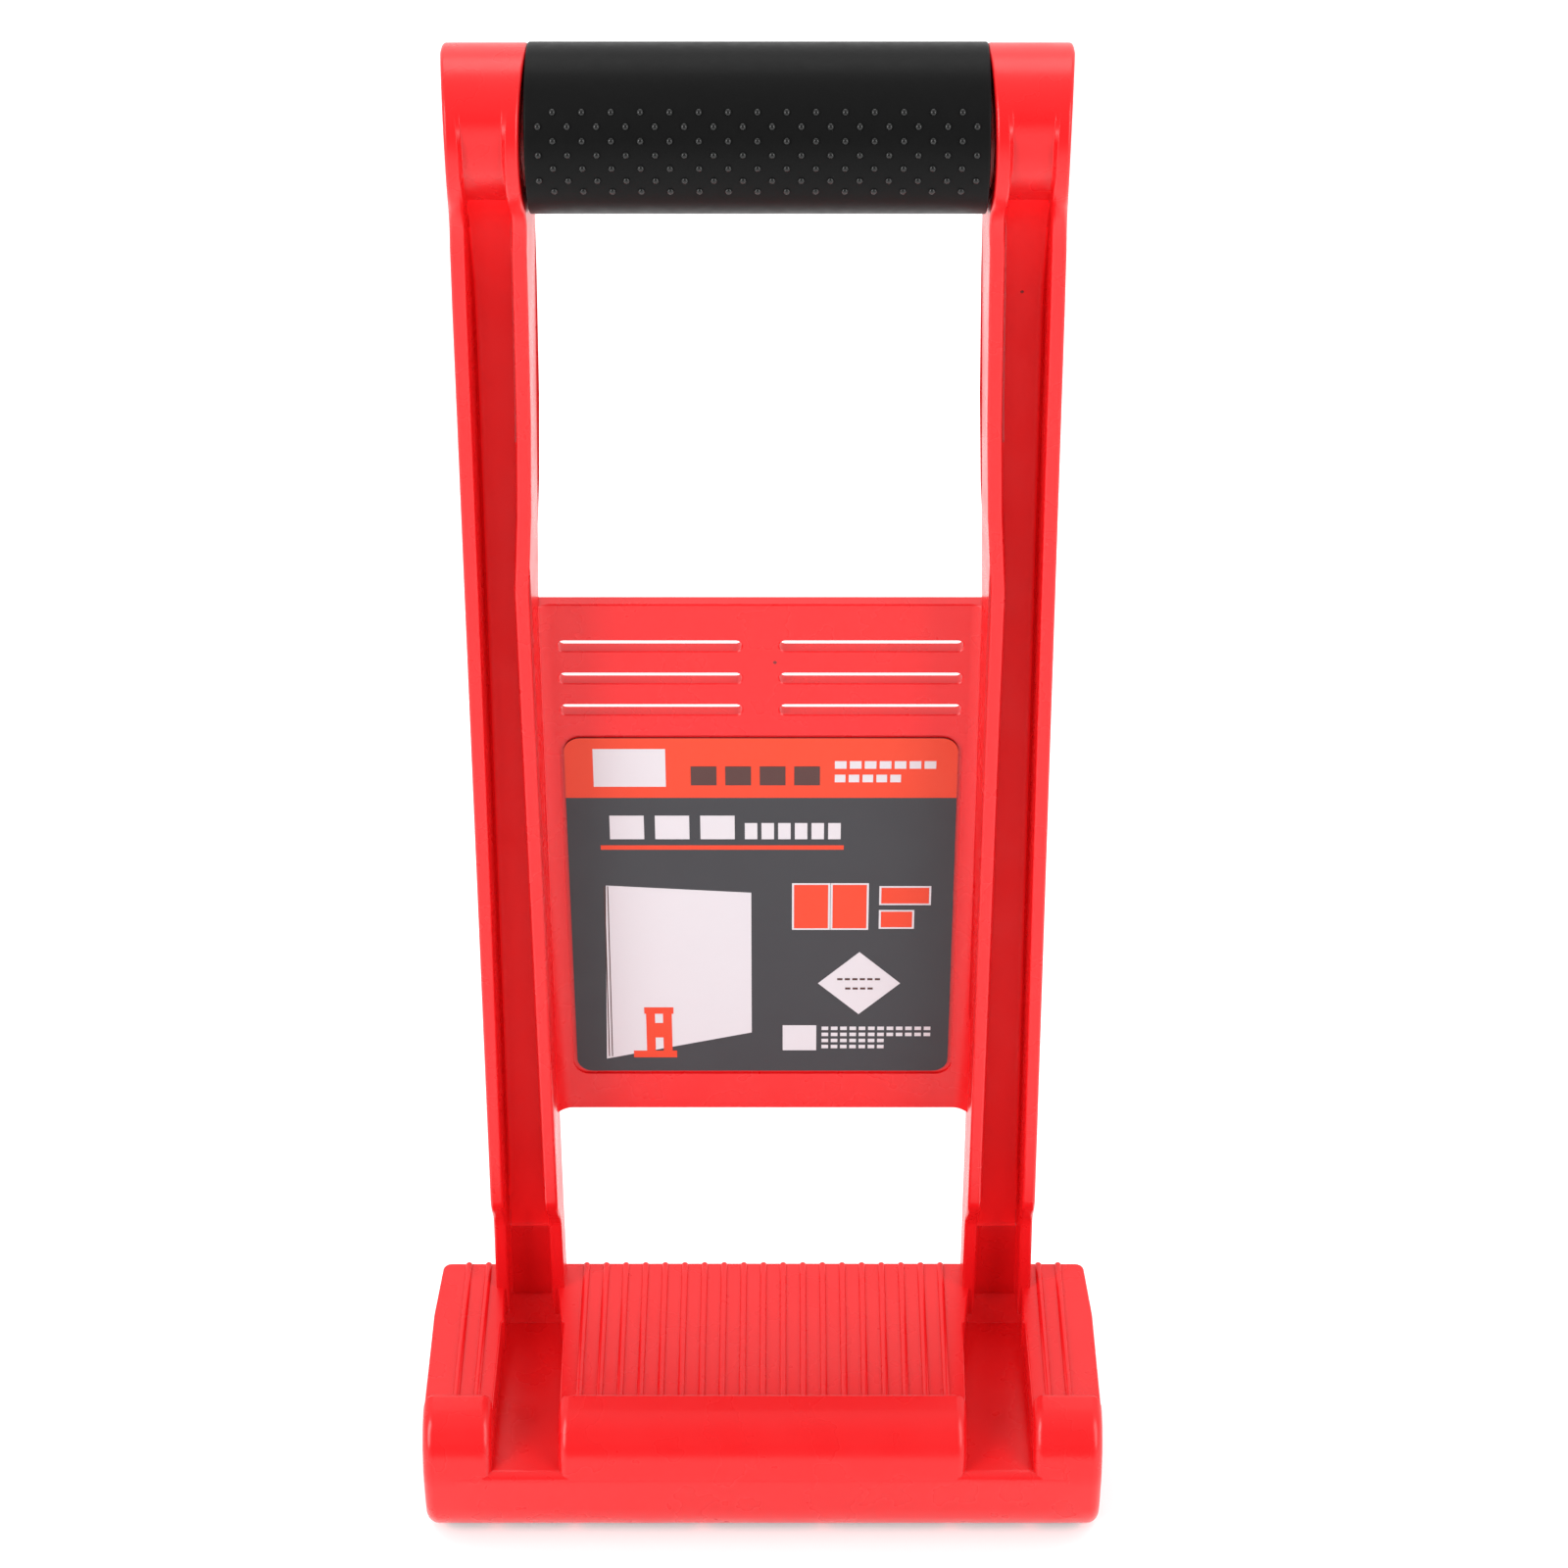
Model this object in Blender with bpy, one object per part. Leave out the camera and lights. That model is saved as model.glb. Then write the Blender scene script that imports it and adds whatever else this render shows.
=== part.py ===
"""Panel carrier: a hand tool for lifting a sheet of plasterboard by its lower edge.

The sheet stands on a ribbed foot behind a rounded front nose, and a person holds the padded bar at
the top. The frame is a ribbed plastic moulding, built here from its members. +X is the user's right
as they face the tool's front, +Z is up and -Y is the front. The origin is at floor level, in the
middle of the tool's width and depth.
"""

from math import acos, cos, pi, sin, sqrt

import bmesh
import bpy
from mathutils import Matrix, Vector

MM = 0.001
GAP = 0.3 * MM  # between members that touch

# Overall
WIDTH = 155.0 * MM
HANDLE_RADIUS = 15.85 * MM
HANDLE_HEIGHT = 333.9 * MM  # of the handle's axis
FRAME_BACK = 25.75 * MM  # Y of the frame's rear plane
FRAME_DEPTH = 15.2 * MM  # of the uprights, front to back

# Foot
SHELF_HEIGHT = 32.0 * MM
SHELF_LENGTH = 46.3 * MM  # from the rear plane to the step up to the nose
NOSE_FRONT = 59.9 * MM  # from the rear plane
NOSE_CREST = 35.9 * MM  # height of the nose
NOSE_SHOULDER = 22.5 * MM  # height where its curved top runs into its upright face
NOSE_ROUNDNESS = 1.65  # exponent of the curved top; 2 is an ellipse
NOSE_BOTTOM_RADIUS = 12.0 * MM
SHELL = 2.6 * MM  # wall thickness of the foot
TROUGH_INNER, TROUGH_OUTER = 46.3 * MM, 61.9 * MM
TROUGH_DEPTH = 9.3 * MM
TROUGH_BACK = 2.5 * MM  # from the rear plane
BACK_TAPER = 1.1 * MM  # each side of the foot narrows by this at its rear edge
TAPER_LENGTH = 16.0 * MM

# Grip ribs on the foot
RIB_PITCH = 4.69 * MM
RIB_WIDTH = 1.6 * MM
RIB_RISE = 0.8 * MM
RIB_ROOT = 0.6 * MM  # how far a rib reaches into the shelf
RIB_PLACES = (*range(-9, 10), -15, -14, 14, 15)  # counted in pitches from the middle

# Uprights: half-widths at the foot and at the handle, and (height, half-width) up the inner edge
OUTER_LOW, OUTER_HIGH = 63.3 * MM, 58.9 * MM
INNER_EDGE = ((30, 47.1), (234, 46.9), (250, 45.8), (272, 44.9), (299, 44.3), (320, 44.1))
UPRIGHT_LOW = SHELF_HEIGHT + GAP
UPRIGHT_HIGH = 305.0 * MM
WEB = 2.5 * MM  # thickness of the channel's back
FLANGE = 2.5 * MM  # thickness of a flange
HEEL_LOW, HEEL_HIGH = 48.0 * MM, 65.0 * MM  # heights between which the flanges grow to full depth
HEEL_DEPTH = 3.3 * MM  # depth of the flanges below the heel

# Centre plate
PLATE_LOW, PLATE_HIGH = 84.1 * MM, 223.2 * MM
PLATE_THICKNESS = 3.1 * MM
SLOT_HEIGHTS = (196.4 * MM, 204.5 * MM, 212.7 * MM)
SLOT_NEAR, SLOT_FAR = 3.9 * MM, 42.5 * MM  # X of a slot's two ends
SLOT_WIDTH = 2.65 * MM

# Label, lying in a shallow recess
LABEL_WIDTH, LABEL_LOW, LABEL_HIGH = 84.2 * MM, 95.5 * MM, 189.0 * MM
LABEL_THICKNESS = 0.3 * MM
LABEL_CORNER = 3.5 * MM
RECESS_MARGIN = 0.9 * MM

# Handle
BOSS_INNER, BOSS_OUTER = 43.2 * MM, 58.9 * MM
NECK_FILLET = 18.0 * MM
GRIP_RADIUS = 16.0 * MM
GRIP_HALF = 42.8 * MM
CORE_RADIUS, CORE_BORE = 11.2 * MM, 8.2 * MM

RED = (0.80, 0.022, 0.022, 1.0)
BLACK = (0.012, 0.013, 0.013, 1.0)
GREY = (0.09, 0.09, 0.095, 1.0)


def depth(distance):
    """Y of a plane that lies this far in front of the frame's rear plane."""
    return FRAME_BACK - distance


def make_material(name, colour, roughness):
    material = bpy.data.materials.new(name)
    material.use_nodes = True
    shader = material.node_tree.nodes["Principled BSDF"]
    shader.inputs["Base Color"].default_value = colour
    shader.inputs["Roughness"].default_value = roughness
    shader.inputs["Metallic"].default_value = 0.0
    material.diffuse_color = colour
    return material


def add_object(name, mesh, material=None):
    """A named object; one without a material is a cutter or an addition, kept out of the renders."""
    thing = bpy.data.objects.new(name, mesh)
    if material is None:
        bpy.data.collections["helpers"].objects.link(thing)
        thing.hide_render = True
        thing.display_type = "WIRE"
    else:
        bpy.data.collections["panel_carrier"].objects.link(thing)
        mesh.materials.append(material)
    return thing


def prism(name, outline, axis, low, high, material=None):
    """A flat outline drawn out along an axis. Its points are (Y, Z) for X, (X, Z) for Y and (X, Y) for Z."""
    curve = bpy.data.curves.new(name, "CURVE")
    curve.dimensions = "2D"
    curve.fill_mode = "BOTH"
    curve.extrude = (high - low) / 2
    spline = curve.splines.new("POLY")
    spline.points.add(len(outline) - 1)
    for point, (across, up) in zip(spline.points, outline):
        point.co = (across, up, 0, 1)
    spline.use_cyclic_u = True
    guide = bpy.data.objects.new(name + "_outline", curve)
    bpy.context.scene.collection.objects.link(guide)
    bpy.context.view_layer.update()
    mesh = bpy.data.meshes.new_from_object(guide.evaluated_get(bpy.context.evaluated_depsgraph_get()))
    mesh.materials.clear()
    bpy.data.objects.remove(guide)
    middle = (low + high) / 2
    turns = {
        "X": Matrix(((0, 0, 1, middle), (1, 0, 0, 0), (0, 1, 0, 0), (0, 0, 0, 1))),
        "Y": Matrix(((1, 0, 0, 0), (0, 0, -1, middle), (0, 1, 0, 0), (0, 0, 0, 1))),
        "Z": Matrix.Translation((0, 0, middle)),
    }
    mesh.transform(turns[axis])
    shape = bmesh.new()
    shape.from_mesh(mesh)
    bmesh.ops.remove_doubles(shape, verts=shape.verts, dist=0.001 * MM)
    bmesh.ops.recalc_face_normals(shape, faces=shape.faces)
    shape.to_mesh(mesh)
    shape.free()
    return add_object(name, mesh, material)


def block(name, corner, material=None):
    """A six-sided block. corner(x, y, z), with each sign -1 or 1, gives one corner's place."""
    shape = bmesh.new()
    bmesh.ops.create_cube(shape, size=2)
    for vertex in shape.verts:
        vertex.co = Vector(corner(*(round(value) for value in vertex.co)))
    bmesh.ops.recalc_face_normals(shape, faces=shape.faces)
    mesh = bpy.data.meshes.new(name)
    shape.to_mesh(mesh)
    shape.free()
    return add_object(name, mesh, material)


def box(name, low, high, material=None):
    def corner(x, y, z):
        return [high[i] if sign > 0 else low[i] for i, sign in enumerate((x, y, z))]

    return block(name, corner, material)


def cylinder(name, radius, half_length, material=None, sides=64):
    """A round bar along the handle's axis."""
    shape = bmesh.new()
    place = Matrix.Translation((0, depth(FRAME_DEPTH / 2), HANDLE_HEIGHT)) @ Matrix.Rotation(pi / 2, 4, "Y")
    bmesh.ops.create_cone(
        shape, cap_ends=True, segments=sides, radius1=radius, radius2=radius, depth=2 * half_length, matrix=place
    )
    mesh = bpy.data.meshes.new(name)
    shape.to_mesh(mesh)
    shape.free()
    smooth(mesh)
    return add_object(name, mesh, material)


def smooth(mesh):
    mesh.shade_smooth()
    mesh.set_sharp_from_angle(angle=pi / 6)


def combine(target, helper, operation):
    modifier = target.modifiers.new(helper.name, "BOOLEAN")
    modifier.operation = operation
    modifier.object = helper


def arc(middle, radius, start, end, steps):
    """Points on a circle, between two angles in degrees."""
    angles = (start + (end - start) * step / steps for step in range(steps + 1))
    return [
        (middle[0] + radius * cos(angle * pi / 180), middle[1] + radius * sin(angle * pi / 180)) for angle in angles
    ]


def rounded_rectangle(half_width, low, high, radius):
    points = []
    for x, z, start in (
        (half_width - radius, high - radius, 0),
        (radius - half_width, high - radius, 90),
        (radius - half_width, low + radius, 180),
        (half_width - radius, low + radius, 270),
    ):
        points += arc((x, z), radius, start, start + 90, 6)
    return points


def between(low, high, share):
    return low + (high - low) * share


def upright_edges(height):
    """Inner and outer half-width of an upright at a height."""
    share = (height - UPRIGHT_LOW) / (UPRIGHT_HIGH - UPRIGHT_LOW)
    outer = between(OUTER_LOW, OUTER_HIGH, share)
    for (z0, x0), (z1, x1) in zip(INNER_EDGE, INNER_EDGE[1:]):
        if height <= z1 * MM:
            break
    return between(x0, x1, (height / MM - z0) / (z1 - z0)) * MM, outer


def upright_face(side, low, high, inset):
    """Outline of an upright from the front, as (X, Z), drawn in at both edges."""
    heights = [low, *(z * MM for z, _ in INNER_EDGE if low < z * MM < high), high]
    edges = [(height, *upright_edges(height)) for height in heights]
    face = [(side * (inner + inset), height) for height, inner, _ in edges]
    face += [(side * (outer - inset), height) for height, _, outer in reversed(edges)]
    return face if side < 0 else face[::-1]


def nose_curve(rear, front, steps):
    """The nose's curved top, from its crest to its upright face, as (Y, Z)."""
    points = []
    for step in range(steps + 1):
        angle = pi / 2 * step / steps
        forward = sin(angle) ** (2 / NOSE_ROUNDNESS)
        up = cos(angle) ** (2 / NOSE_ROUNDNESS)
        height = between(NOSE_SHOULDER, NOSE_CREST - (NOSE_FRONT - front), up)
        points.append((depth(between(rear, front, forward)), height))
    return points


def nose_section(rear):
    """Outline of the nose from the side, as (Y, Z), with a flat back at a distance from the rear plane."""
    bottom_middle = (depth(NOSE_FRONT - NOSE_BOTTOM_RADIUS), NOSE_BOTTOM_RADIUS)
    crest = SHELF_LENGTH + 0.6 * MM
    return [
        (depth(rear), 0),
        (depth(rear), NOSE_CREST - 0.6 * MM),
        *nose_curve(crest, NOSE_FRONT, 14),
        *arc(bottom_middle, NOSE_BOTTOM_RADIUS, 180, 270, 10),
    ]


def chamber_section(ceiling):
    """Outline of the hollow under the foot, as (Y, Z), up to a ceiling."""
    front = NOSE_FRONT - SHELL
    reach = NOSE_BOTTOM_RADIUS - SHELL
    low_middle = (depth(front - reach), NOSE_BOTTOM_RADIUS)
    top = [(forward, min(height, ceiling)) for forward, height in nose_curve(SHELF_LENGTH, front, 8)]
    return [
        (depth(SHELL), -1 * MM),
        (depth(SHELL), ceiling),
        *top,
        *arc(low_middle, reach, 180, 240, 5),
        (low_middle[0] - reach / 2, -1 * MM),
    ]


def hollow_out(member, chambers, ceiling):
    """Cuts chambers from the underside of a member of the foot, each between two places across the width."""
    for number, (low, high) in enumerate(chambers):
        helper = prism(f"{member.name}_chamber_{number}", chamber_section(ceiling), "X", low, high)
        combine(member, helper, "DIFFERENCE")


def make_foot(plastic):
    """The hollow foot: three ribbed shelves and the nose in front of them, with a trough below each upright."""
    inner, outer = TROUGH_INNER - GAP / 2, TROUGH_OUTER + GAP / 2
    ceiling = SHELF_HEIGHT - SHELL
    third = (inner - 2 * SHELL) / 3
    side = (outer + SHELL, WIDTH / 2 - SHELL - BACK_TAPER)
    middle = [(SHELL - inner, -third - SHELL / 2), (SHELL / 2 - third, third - SHELL / 2)]
    middle.append((third + SHELL / 2, inner - SHELL))
    layout = {
        "centre": (-inner, inner, middle),
        "left": (-WIDTH / 2, -outer, [(-side[1], -side[0])]),
        "right": (outer, WIDTH / 2, [side]),
    }
    for word, (low, high, chambers) in layout.items():
        shelf = box(f"{word}_shelf", (low, depth(SHELF_LENGTH - GAP), 0), (high, depth(0), SHELF_HEIGHT), plastic)
        nose = prism(f"{word}_nose", nose_section(SHELF_LENGTH), "X", low, high, plastic)
        for member in (shelf, nose):
            hollow_out(member, chambers, ceiling)
        for place in RIB_PLACES:
            if low < place * RIB_PITCH < high:
                combine(shelf, make_rib(f"shelf_rib_{place}", place * RIB_PITCH), "UNION")
        if word != "centre":
            combine(shelf, make_back_taper(word, 1 if low > 0 else -1), "DIFFERENCE")


def make_back_taper(word, side):
    """What is missing from the outer edge of a side shelf, where the foot narrows to the rear."""

    def corner(x, y, z):
        near = WIDTH / 2 - (BACK_TAPER if y > 0 else 0)
        across = near if x * side < 0 else WIDTH / 2 + 5 * MM
        return (side * across, depth(-0.5 * MM) if y > 0 else depth(TAPER_LENGTH), 50 * MM if z > 0 else -5 * MM)

    return block(f"{word}_back_taper", corner)


def make_trough(side, word, plastic):
    """The low floor in front of an upright, running out through the nose, with the foot's rear wall behind it."""
    low, high = sorted((side * (TROUGH_INNER + GAP / 2), side * (TROUGH_OUTER - GAP / 2)))
    floor = SHELF_HEIGHT - TROUGH_DEPTH
    outline = [point for point in nose_section(0) if point[1] < NOSE_CREST - 1 * MM]
    outline[1:1] = [(depth(0), SHELF_HEIGHT), (depth(TROUGH_BACK), SHELF_HEIGHT)]
    trough = prism(f"{word}_trough", outline, "X", low, high, plastic)
    room = box(f"{word}_trough_room", (low - GAP, depth(70 * MM), floor), (high + GAP, depth(TROUGH_BACK), 50 * MM))
    combine(trough, room, "DIFFERENCE")
    hollow_out(trough, [(low - GAP, high + GAP)], floor - SHELL)


def make_rib(name, middle):
    """One grip rib along the shelf, with a narrow flat top."""

    def corner(x, y, z):
        half = RIB_WIDTH / 2 if z < 0 else RIB_WIDTH / 4
        height = SHELF_HEIGHT + (RIB_RISE if z > 0 else -RIB_ROOT)
        return (middle + x * half, depth(0.4 * MM) if y > 0 else depth(SHELF_LENGTH - GAP - 0.1 * MM), height)

    return block(name, corner)


def heel_section():
    """Outline, as (Y, Z), of what is missing in front of the flanges near the foot."""
    curve = []
    for step in range(13):
        share = step / 12
        reach = between(HEEL_DEPTH, FRAME_DEPTH, share * share * (3 - 2 * share))
        curve.append((depth(reach), between(HEEL_LOW, HEEL_HIGH, share)))
    curve[-1] = (depth(FRAME_DEPTH + 5 * MM), HEEL_HIGH + 0.5 * MM)
    return [(depth(HEEL_DEPTH), UPRIGHT_LOW - 2 * MM), *curve, (depth(FRAME_DEPTH + 5 * MM), UPRIGHT_LOW - 2 * MM)]


def make_upright(side, word, plastic):
    """A channel open to the front, narrower at the top, with its flanges cut back above the foot."""
    face = upright_face(side, UPRIGHT_LOW, UPRIGHT_HIGH, 0)
    upright = prism(f"{word}_upright", face, "Y", depth(FRAME_DEPTH), depth(0), plastic)
    room = upright_face(side, UPRIGHT_LOW - 2 * MM, UPRIGHT_HIGH + 2 * MM, FLANGE)
    channel = prism(f"{word}_channel", room, "Y", depth(FRAME_DEPTH + 1 * MM), depth(WEB))
    combine(upright, channel, "DIFFERENCE")
    heel = prism(f"{word}_heel", heel_section(), "X", -80 * MM, 80 * MM)
    combine(upright, heel, "DIFFERENCE")
    return upright


def boss_section():
    """Outline, as (Y, Z), of a handle boss: a disc on a neck as deep as the upright, with a fillet each side."""
    middle = (depth(FRAME_DEPTH / 2), HANDLE_HEIGHT)
    across = FRAME_DEPTH / 2 + NECK_FILLET
    reach = HANDLE_RADIUS + NECK_FILLET
    drop = sqrt(reach * reach - across * across)
    turn = acos(across / reach) * 180 / pi
    back_fillet = arc((middle[0] + across, middle[1] - drop), NECK_FILLET, 180, 180 - turn, 8)
    front_fillet = arc((middle[0] - across, middle[1] - drop), NECK_FILLET, turn, 0, 8)
    disc = arc(middle, HANDLE_RADIUS, -turn, 180 + turn, 40)
    low = UPRIGHT_HIGH + GAP
    return [(depth(0), low), *back_fillet, *disc[1:-1], *front_fillet, (depth(FRAME_DEPTH), low)]


def runout_section():
    """Outline, as (Y, Z), of the channel's upper end, where its floor rises to the front of the boss."""
    low, high = UPRIGHT_HIGH - 1 * MM, 343.0 * MM
    floor = []
    for step in range(13):
        share = step / 12
        floor.append((depth(WEB + 22.5 * MM * share**2.2), between(low, high, share)))
    return [*floor, (depth(40 * MM), high), (depth(40 * MM), low)]


def make_boss(side, word, plastic):
    ends = sorted((side * BOSS_INNER, side * BOSS_OUTER))
    boss = prism(f"{word}_handle_boss", boss_section(), "X", *ends, plastic)
    inner, outer = upright_edges(UPRIGHT_HIGH)
    ends = sorted((side * (inner + FLANGE), side * (outer - FLANGE)))
    combine(boss, prism(f"{word}_runout", runout_section(), "X", *ends), "DIFFERENCE")
    smooth(boss.data)
    return boss


def make_plate(plastic):
    """The plate between the uprights, with six slots through it and a recess for the label."""

    def corner(x, y, z):
        height = PLATE_HIGH if z > 0 else PLATE_LOW
        inner, _ = upright_edges(height)
        return (x * (inner - GAP), depth(0) if y > 0 else depth(PLATE_THICKNESS), height)

    plate = block("centre_plate", corner, plastic)
    half = SLOT_WIDTH / 2
    for row, height in enumerate(SLOT_HEIGHTS):
        for side, word in ((-1, "left"), (1, "right")):
            low, high = sorted((side * SLOT_NEAR, side * SLOT_FAR))
            outline = arc((high - half, height), half, -90, 90, 8) + arc((low + half, height), half, 90, 270, 8)
            slot = prism(f"{word}_slot_{row}", outline, "Y", depth(PLATE_THICKNESS + 1 * MM), depth(-1 * MM))
            combine(plate, slot, "DIFFERENCE")
    outline = rounded_rectangle(
        LABEL_WIDTH / 2 + RECESS_MARGIN, LABEL_LOW - RECESS_MARGIN, LABEL_HIGH + RECESS_MARGIN, LABEL_CORNER
    )
    floor = depth(PLATE_THICKNESS - LABEL_THICKNESS - GAP)
    recess = prism("label_recess", outline, "Y", depth(PLATE_THICKNESS + 0.5 * MM), floor)
    combine(plate, recess, "DIFFERENCE")
    return plate


def make_label(paper):
    outline = rounded_rectangle(LABEL_WIDTH / 2, LABEL_LOW, LABEL_HIGH, LABEL_CORNER)
    front = depth(PLATE_THICKNESS)
    return prism("label_sticker", outline, "Y", front, front + LABEL_THICKNESS, paper)


def make_handle(plastic, rubber):
    core = cylinder("handle_core", CORE_RADIUS, BOSS_INNER - GAP, plastic)
    combine(core, cylinder("core_bore", CORE_BORE, BOSS_INNER + 5 * MM), "DIFFERENCE")
    grip = cylinder("grip_sleeve", GRIP_RADIUS, GRIP_HALF, rubber)
    combine(grip, cylinder("grip_bore", CORE_RADIUS + GAP, GRIP_HALF + 5 * MM), "DIFFERENCE")


def main():
    for thing in list(bpy.data.objects):
        bpy.data.objects.remove(thing)
    for name in ("panel_carrier", "helpers"):
        bpy.context.scene.collection.children.link(bpy.data.collections.new(name))
    plastic = make_material("red_plastic", RED, 0.28)
    rubber = make_material("black_rubber", BLACK, 0.5)
    paper = make_material("label_print", GREY, 0.35)
    make_foot(plastic)
    for side, word in ((-1, "left"), (1, "right")):
        make_trough(side, word, plastic)
        make_upright(side, word, plastic)
        make_boss(side, word, plastic)
    make_plate(plastic)
    make_label(paper)
    make_handle(plastic, rubber)


main()
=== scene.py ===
"""The looks of the panel carrier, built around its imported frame: the red moulding, the grip and the label."""

from math import acos, cos, hypot, pi, radians, sin, sqrt, tan

import bmesh
import bpy
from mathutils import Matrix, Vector


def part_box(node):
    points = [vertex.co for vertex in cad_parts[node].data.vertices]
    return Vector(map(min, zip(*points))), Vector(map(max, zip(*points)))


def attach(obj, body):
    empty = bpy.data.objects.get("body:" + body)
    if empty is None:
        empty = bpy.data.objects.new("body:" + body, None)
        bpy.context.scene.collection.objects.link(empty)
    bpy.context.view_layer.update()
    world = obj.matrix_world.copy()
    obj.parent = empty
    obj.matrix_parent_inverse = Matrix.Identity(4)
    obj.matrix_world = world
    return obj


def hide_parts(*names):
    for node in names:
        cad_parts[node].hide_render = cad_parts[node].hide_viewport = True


MM = 0.001

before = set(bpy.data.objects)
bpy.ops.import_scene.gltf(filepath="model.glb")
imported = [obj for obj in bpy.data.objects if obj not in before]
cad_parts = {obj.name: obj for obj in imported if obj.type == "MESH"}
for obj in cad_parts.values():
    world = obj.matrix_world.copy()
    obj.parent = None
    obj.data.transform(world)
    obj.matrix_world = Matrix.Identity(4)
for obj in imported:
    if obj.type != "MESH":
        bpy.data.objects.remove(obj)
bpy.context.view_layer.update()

# What the frame says
PLATE_LOW, PLATE_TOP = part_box("centre_plate")
SHELF_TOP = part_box("left_trough")[1]
NOSE_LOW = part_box("left_nose")[0]
GRIP_LOW, GRIP_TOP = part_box("grip_sleeve")
LABEL_LOW, LABEL_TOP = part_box("label_sticker")
UPRIGHT_LOW, UPRIGHT_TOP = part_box("right_upright")
REAR = UPRIGHT_TOP.y
HALF_WIDTH = -NOSE_LOW.x
SHELF = SHELF_TOP.z
NOSE_FRONT = REAR - NOSE_LOW.y
AXIS = (GRIP_LOW + GRIP_TOP) / 2

# Moulding: distances are measured forward from the rear plane unless a name says otherwise
WEB = 2.5 * MM
FLANGE = REAR - UPRIGHT_LOW.y
GRIP_RADIUS = 16.0 * MM
HEEL_FRONT = 8.5 * MM
HEEL_LOW, HEEL_HIGH = 52.0 * MM, 66.0 * MM
OUTER_FOOT, OUTER_HEAD = 63.3 * MM, 58.9 * MM  # half-widths at the shelf and at OUTER_TOP
OUTER_TOP = 305 * MM
INNER_EDGE = ((0, 47.4), (234, 46.9), (252, 45.7), (272, 44.9), (299, 44.3), (345, 43.9))  # mm
DRAFT_FOOT, DRAFT_HEAD, DRAFT_OUTER = 0.3 * MM, 0.9 * MM, 0.2 * MM
DRAFT_LOW, DRAFT_BLEND = 100 * MM, 130 * MM  # where the inner draft starts to grow, and over what height
FOOT_WEB = 2.9 * MM  # the channel's back is slightly thicker below this height
WEB_STEP, WEB_BLEND = 47.0 * MM, 0.6 * MM
RAMP_TOP, RAMP_END = 25.0 * MM, 10.7 * MM  # height and reach of the ramp down to the trough floor
BOSS_FRONT_INNER, BOSS_FRONT_OUTER = 44.2 * MM, 57.8 * MM  # half-widths at the handle end's front
BOSS_DRAFT = 0.078  # how much its sides spread for each unit to the rear, as far as its middle
BOSS_LOW, BOSS_BLEND = 308 * MM, 14 * MM  # where an upright starts to turn into its handle end
FLANGE_EDGE = 2.95 * MM
LIP, ROOT_FILLET = 0.7 * MM, 1.4 * MM  # roundings at the mouth and at the bottom of a channel
LOFT_LOW = 14.0 * MM
DISC = 15.85 * MM
NECK_FILLET = 18.0 * MM
RUNOUT_LOW, RUNOUT_HIGH = 288.0 * MM, 345.0 * MM
FLOOR = 22.7 * MM  # height of the trough floors
STEP, CREST = 46.3 * MM, 35.9 * MM  # where the shelf ends, and the height of the nose there
ROOT = 19.3 * MM  # how far forward the uprights' notches in the shelf reach
SHELL = 2.6 * MM  # wall thickness under the foot
BACK_TAPER = 1.1 * MM  # each side of the foot narrows by this towards the rear
RIB_PITCH, RIB_RADIUS = 4.69 * MM, 0.8 * MM
PLATE_FRONT = 3.1 * MM
SLOT_NEAR, SLOT_FAR, SLOT_HALF = 3.9 * MM, 42.5 * MM, 1.325 * MM
SLOT_HEIGHTS = (196.4 * MM, 204.5 * MM, 212.7 * MM)

# Finishes: strength of the red where there is one, roughness, specular level
RED_FINISH = (0.70, 0.28, 0.42)
# The channels' floors: a duller finish, and a stronger red that is painted light for the light bounced around
# inside the channels
DULL_PAINTED_LIGHT_RED_FINISH = (0.97, 0.50, 0.22)
SLEEVE_FINISH = (0.34, 0.07)
BUMP_FINISH = (0.14, 0.4)


def between(low, high, share):
    return low + (high - low) * share


def smoothstep(share):
    share = min(1.0, max(0.0, share))
    return share * share * (3 - 2 * share)


def place(x, forward, z):
    """A point from its distance in front of the rear plane."""
    return (x, REAR - forward, z)


# ---------------------------------------------------------------- geometry helpers


def added(name, data):
    """A new object in the scene, with this data."""
    thing = bpy.data.objects.new(name, data)
    bpy.context.scene.collection.objects.link(thing)
    return thing


def solid(name, shape):
    """A new object with the bmesh's shape; the bmesh is freed."""
    mesh = bpy.data.meshes.new(name)
    shape.to_mesh(mesh)
    shape.free()
    return added(name, mesh)


def loft(name, rows):
    """A closed skin through equally long rows of points, with a flat cap at each end."""
    shape = bmesh.new()
    rings = [[shape.verts.new(point) for point in row] for row in rows]
    for low, high in zip(rings, rings[1:]):
        for i in range(len(low)):
            shape.faces.new((low[i - 1], low[i], high[i], high[i - 1]))
    shape.faces.new(rings[0])
    shape.faces.new(reversed(rings[-1]))
    bmesh.ops.remove_doubles(shape, verts=shape.verts, dist=0.0005 * MM)
    bmesh.ops.dissolve_degenerate(shape, dist=0.0005 * MM, edges=shape.edges)
    bmesh.ops.recalc_face_normals(shape, faces=shape.faces)
    return solid(name, shape)


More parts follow.
